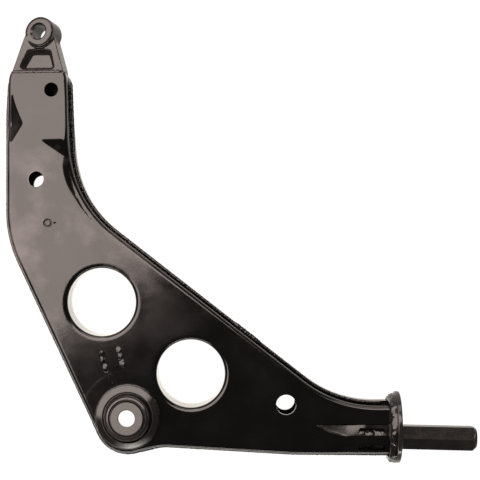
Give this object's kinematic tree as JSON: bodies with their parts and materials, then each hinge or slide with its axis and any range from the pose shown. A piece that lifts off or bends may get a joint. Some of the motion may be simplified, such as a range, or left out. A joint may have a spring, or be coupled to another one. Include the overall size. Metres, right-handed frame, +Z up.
{
  "type": "control arm",
  "caption": "Bare welded steel front lower suspension control arm with lightening holes, an outer joint eye, an inner joint boss and a hexagonal bush spigot.",
  "frame": {"origin": "centre of the part's box, on the plane it rests on", "axes": "+X along the arm's longest extent, towards the hexagonal spigot; +Y towards the outer joint eye; +Z up, the shortest extent, out of the upper shell"},
  "size_m": [0.4292, 0.4054, 0.0666],
  "materials": {
    "gloss_black_paint": "gloss black dipped paint over pressed and forged steel",
    "painted_weld": "gloss black paint over rippled weld beads"
  },
  "bodies": {
    "root": {"upper_shell": "gloss_black_paint", "lower_shell": "gloss_black_paint", "outer_joint_lug": "gloss_black_paint", "inner_joint_boss": "gloss_black_paint", "boss_stiffener": "gloss_black_paint", "spigot_bar": "gloss_black_paint", "spigot_flange": "gloss_black_paint", "seam_weld_outer": "painted_weld", "seam_weld_inner": "painted_weld", "lug_weld_upper": "painted_weld", "lug_weld_lower": "painted_weld", "boss_weld_upper": "painted_weld", "boss_weld_lower": "painted_weld", "stiffener_slot_weld_1": "painted_weld", "stiffener_slot_weld_2": "painted_weld", "upper_spigot_slot_weld_1": "painted_weld", "upper_spigot_slot_weld_2": "painted_weld", "lower_spigot_slot_weld_1": "painted_weld", "lower_spigot_slot_weld_2": "painted_weld", "spigot_flange_weld": "painted_weld"}
  },
  "joints": []
}
